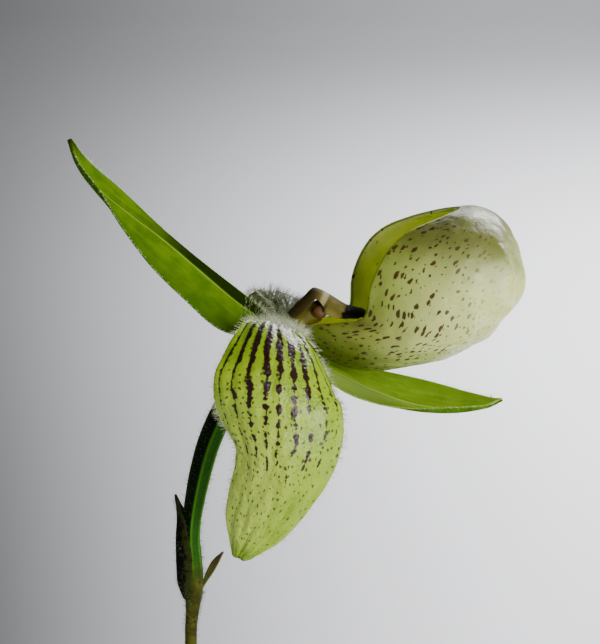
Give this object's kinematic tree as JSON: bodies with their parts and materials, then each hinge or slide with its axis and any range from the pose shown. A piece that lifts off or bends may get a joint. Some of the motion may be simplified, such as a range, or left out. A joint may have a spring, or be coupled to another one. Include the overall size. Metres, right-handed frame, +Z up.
{
  "type": "potted slipper orchid",
  "caption": "Slipper orchid in a tapered clay pot of bark: a fan of strap leaves and one tall stalk with a single green bloom, its pouch facing forward.",
  "frame": {"origin": "centre of the pot's underside, where the pot rests", "axes": "+Z up along the pot's axis, +X the way the bloom's pouch points, -Y towards the picture's camera"},
  "size_m": [0.2217, 0.1233, 0.4399],
  "materials": {
    "clay": "unglazed, matte",
    "bark": "rough bark chips",
    "crown": "dry leaf sheaths",
    "leaf": "leathery, satin",
    "stalk": "short-haired",
    "bract": "papery, short-haired",
    "sepal": "satin",
    "petal": "satin",
    "lip": "glossy",
    "column": "satin",
    "staminode": "satin"
  },
  "bodies": {
    "root": {"pot": "clay", "potting_bark": "bark", "crown": "crown", "leaf_1": "leaf", "leaf_2": "leaf", "leaf_3": "leaf", "leaf_4": "leaf", "leaf_5": "leaf", "leaf_6": "leaf", "leaf_7": "leaf", "flower_stalk": "stalk", "bract": "bract", "bractlet": "bract", "dorsal_sepal": "sepal", "synsepal": "sepal", "petal_right": "petal", "petal_left": "petal", "lip_pouch": "lip", "column": "column", "staminode": "staminode"}
  },
  "joints": []
}
